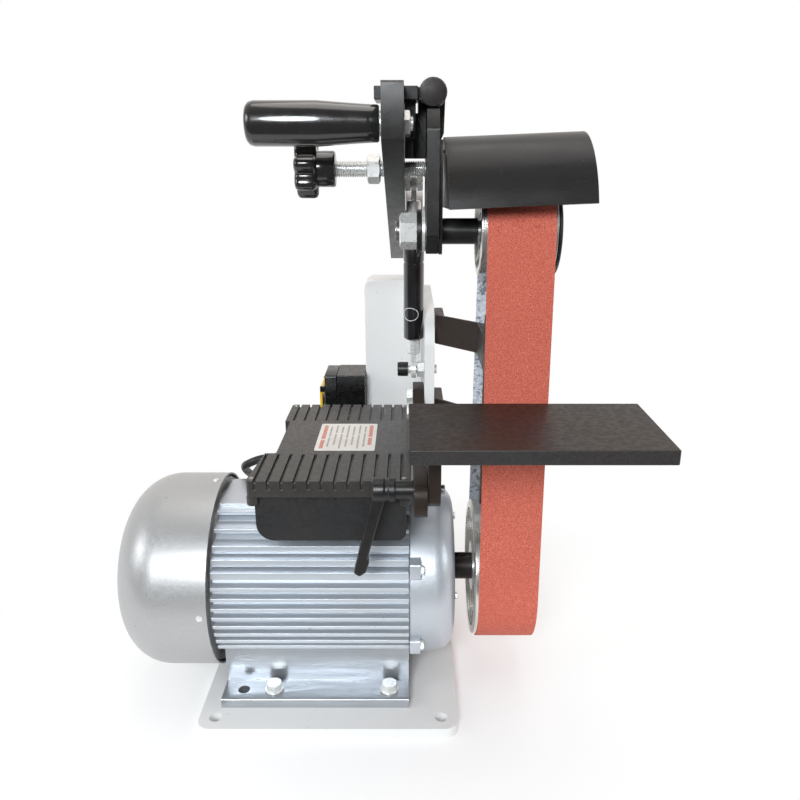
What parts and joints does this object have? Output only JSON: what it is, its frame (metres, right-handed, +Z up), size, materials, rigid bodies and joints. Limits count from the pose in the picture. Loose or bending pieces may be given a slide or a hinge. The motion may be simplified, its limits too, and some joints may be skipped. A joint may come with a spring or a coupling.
{
  "type": "belt grinder",
  "caption": "Bench belt grinder: foot-mounted motor, vertical abrasive belt over two wheels, tilting work table, gas-spring tension lever and tracking knob.",
  "frame": {"origin": "centre of the base plate's underside", "axes": "+X towards the belt side, -Y towards the operator, +Z up"},
  "size_m": [0.4274, 0.3753, 0.5126],
  "materials": {
    "white_powder_coat": "satin powder coat",
    "silver_paint": "silver motor enamel",
    "aluminium": "extruded or machined aluminium",
    "steel": "ground steel",
    "core_steel": "laminated core",
    "dark_steel": "black-oxide steel, worn edges",
    "zinc": "zinc plated",
    "black_paint": "satin black",
    "gloss_black": "glossy black plastic",
    "tube_black": "gloss black enamel",
    "guard_paint": "satin dark brown-black",
    "box_plastic": "grained plastic",
    "black_plastic": "fine-grained plastic",
    "cable_rubber": "matt rubber",
    "abrasive": "cloth belt with red-brown grain",
    "yellow_plastic": "gloss",
    "green_plastic": "gloss",
    "red_plastic": "gloss"
  },
  "bodies": {
    "stand": {"base_plate": "white_powder_coat", "side_plate": "white_powder_coat", "rear_column": "white_powder_coat", "pivot_ear": "white_powder_coat", "motor_frame": "silver_paint", "stator_core": "core_steel", "drive_endshield": "silver_paint", "fan_endshield": "silver_paint", "fan_cowl": "silver_paint", "motor_foot_front": "aluminium", "motor_foot_rear": "aluminium", "foot_bolt_front_1": "zinc", "foot_bolt_front_2": "zinc", "foot_bolt_rear_1": "zinc", "foot_bolt_rear_2": "zinc", "terminal_box": "box_plastic", "terminal_lid": "box_plastic", "start_capacitor": "aluminium", "motor_cable": "cable_rubber", "abrasive_belt": "abrasive", "platen": "dark_steel", "platen_bracket_upper": "dark_steel", "platen_bracket_lower": "dark_steel", "table_arm": "dark_steel", "table_arm_bolt_lower": "zinc", "table_arm_bolt_upper": "zinc", "lever_pivot_bolt": "zinc", "gas_lower_bolt": "zinc", "switch_body": "black_plastic", "switch_bezel": "black_plastic"},
    "motor_rotor": {"motor_shaft": "dark_steel", "rotor_core": "core_steel", "cooling_fan": "black_plastic", "drive_wheel": "aluminium", "wheel_bolt": "zinc"},
    "lever": {"lever_arm": "black_paint", "hinge_bar": "black_paint", "hinge_pin": "dark_steel", "jam_nut": "zinc", "handle_bolt": "zinc", "gas_upper_bolt": "zinc"},
    "handle": {"handle_grip": "gloss_black"},
    "adjuster_screw": {"tracking_screw": "zinc"},
    "adjuster_knob": {"tracking_knob": "gloss_black"},
    "tracking_head": {"tracking_plate": "black_paint", "guard": "guard_paint", "axle": "steel", "axle_nut": "zinc", "wheel_spacer": "black_paint"},
    "idler": {"top_wheel": "aluminium", "idler_bearing": "steel"},
    "table": {"table_bracket": "dark_steel", "work_table": "dark_steel"},
    "clamp": {"clamp_lever": "black_paint"},
    "spring_tube": {"gas_tube": "tube_black"},
    "spring_rod": {"gas_rod": "zinc"},
    "flap": {"switch_flap": "yellow_plastic"},
    "start": {"start_button": "green_plastic"},
    "stop": {"stop_button": "red_plastic"}
  },
  "joints": [
    {"name": "motor_spin", "type": "hinge", "parent": "stand", "child": "motor_rotor", "pos_m": [0, -0.052, 0.1], "axis": [1, 0, 0], "continuous": true},
    {"name": "lever_tilt", "type": "hinge", "parent": "stand", "child": "lever", "pos_m": [0.057, 0.101, 0.4035], "axis": [1, 0, 0], "range_deg": [0, 8.5], "stiffness_Nm_per_rad": 30, "springref_deg": -57.3, "deforming": ["abrasive_belt"]},
    {"name": "handle_spin", "type": "hinge", "parent": "lever", "child": "handle", "pos_m": [0, -0.109, 0.4813], "axis": [1, 0, 0], "continuous": true},
    {"name": "tracking_screw_slide", "type": "slide", "parent": "lever", "child": "adjuster_screw", "axis": [1, 0, 0], "range_m": [-0.0026, 0.0026], "deforming": ["abrasive_belt"]},
    {"name": "tracking_knob_turn", "type": "hinge", "parent": "adjuster_screw", "child": "adjuster_knob", "pos_m": [-0.01, -0.069, 0.4505], "axis": [1, 0, 0], "range_deg": [-540, 540]},
    {"name": "tracking_tilt", "type": "hinge", "parent": "lever", "child": "tracking_head", "pos_m": [0.08475, -0.07, 0.5026], "axis": [0, 1, 0], "range_deg": [-3, 3], "deforming": ["abrasive_belt"]},
    {"name": "idler_spin", "type": "hinge", "parent": "tracking_head", "child": "idler", "pos_m": [0.15, -0.0792, 0.405], "axis": [1, 0, 0], "continuous": true},
    {"name": "table_tilt", "type": "hinge", "parent": "stand", "child": "table", "pos_m": [0.086, -0.157, 0.224], "axis": [1, 0, 0], "range_deg": [0, 45]},
    {"name": "clamp_turn", "type": "hinge", "parent": "stand", "child": "clamp", "pos_m": [0.05, -0.157, 0.224], "axis": [1, 0, 0], "range_deg": [-90, 0]},
    {"name": "spring_tilt", "type": "hinge", "parent": "stand", "child": "spring_tube", "pos_m": [0.07195, -0.008, 0.276], "axis": [1, 0, 0], "range_deg": [-0.5, 3]},
    {"name": "spring_stroke", "type": "slide", "parent": "spring_tube", "child": "spring_rod", "axis": [0, -0.0368, 0.9993], "range_m": [-0.019, 0.001]},
    {"name": "flap_open", "type": "hinge", "parent": "stand", "child": "flap", "pos_m": [-0.0226, 0.103, 0.229], "axis": [0, 1, 0], "range_deg": [0, 100]},
    {"name": "start_press", "type": "slide", "parent": "stand", "child": "start", "axis": [1, 0, 0], "range_m": [0, 0.002], "stiffness_N_per_m": 400, "springref_m": -0.001},
    {"name": "stop_press", "type": "slide", "parent": "stand", "child": "stop", "axis": [1, 0, 0], "range_m": [0, 0.002], "stiffness_N_per_m": 400, "springref_m": -0.001}
  ],
  "couplings": [
    {"joint": "idler_spin", "follows": "motor_spin", "ratio": 1.7872},
    {"joint": "spring_tilt", "follows": "lever_tilt", "ratio": 0.22092},
    {"joint": "spring_stroke", "follows": "lever_tilt", "m_per_rad": -0.11521},
    {"joint": "tracking_knob_turn", "follows": "tracking_screw_slide", "rad_per_m": 3590.4},
    {"joint": "tracking_tilt", "follows": "tracking_screw_slide", "rad_per_m": -19.194}
  ]
}
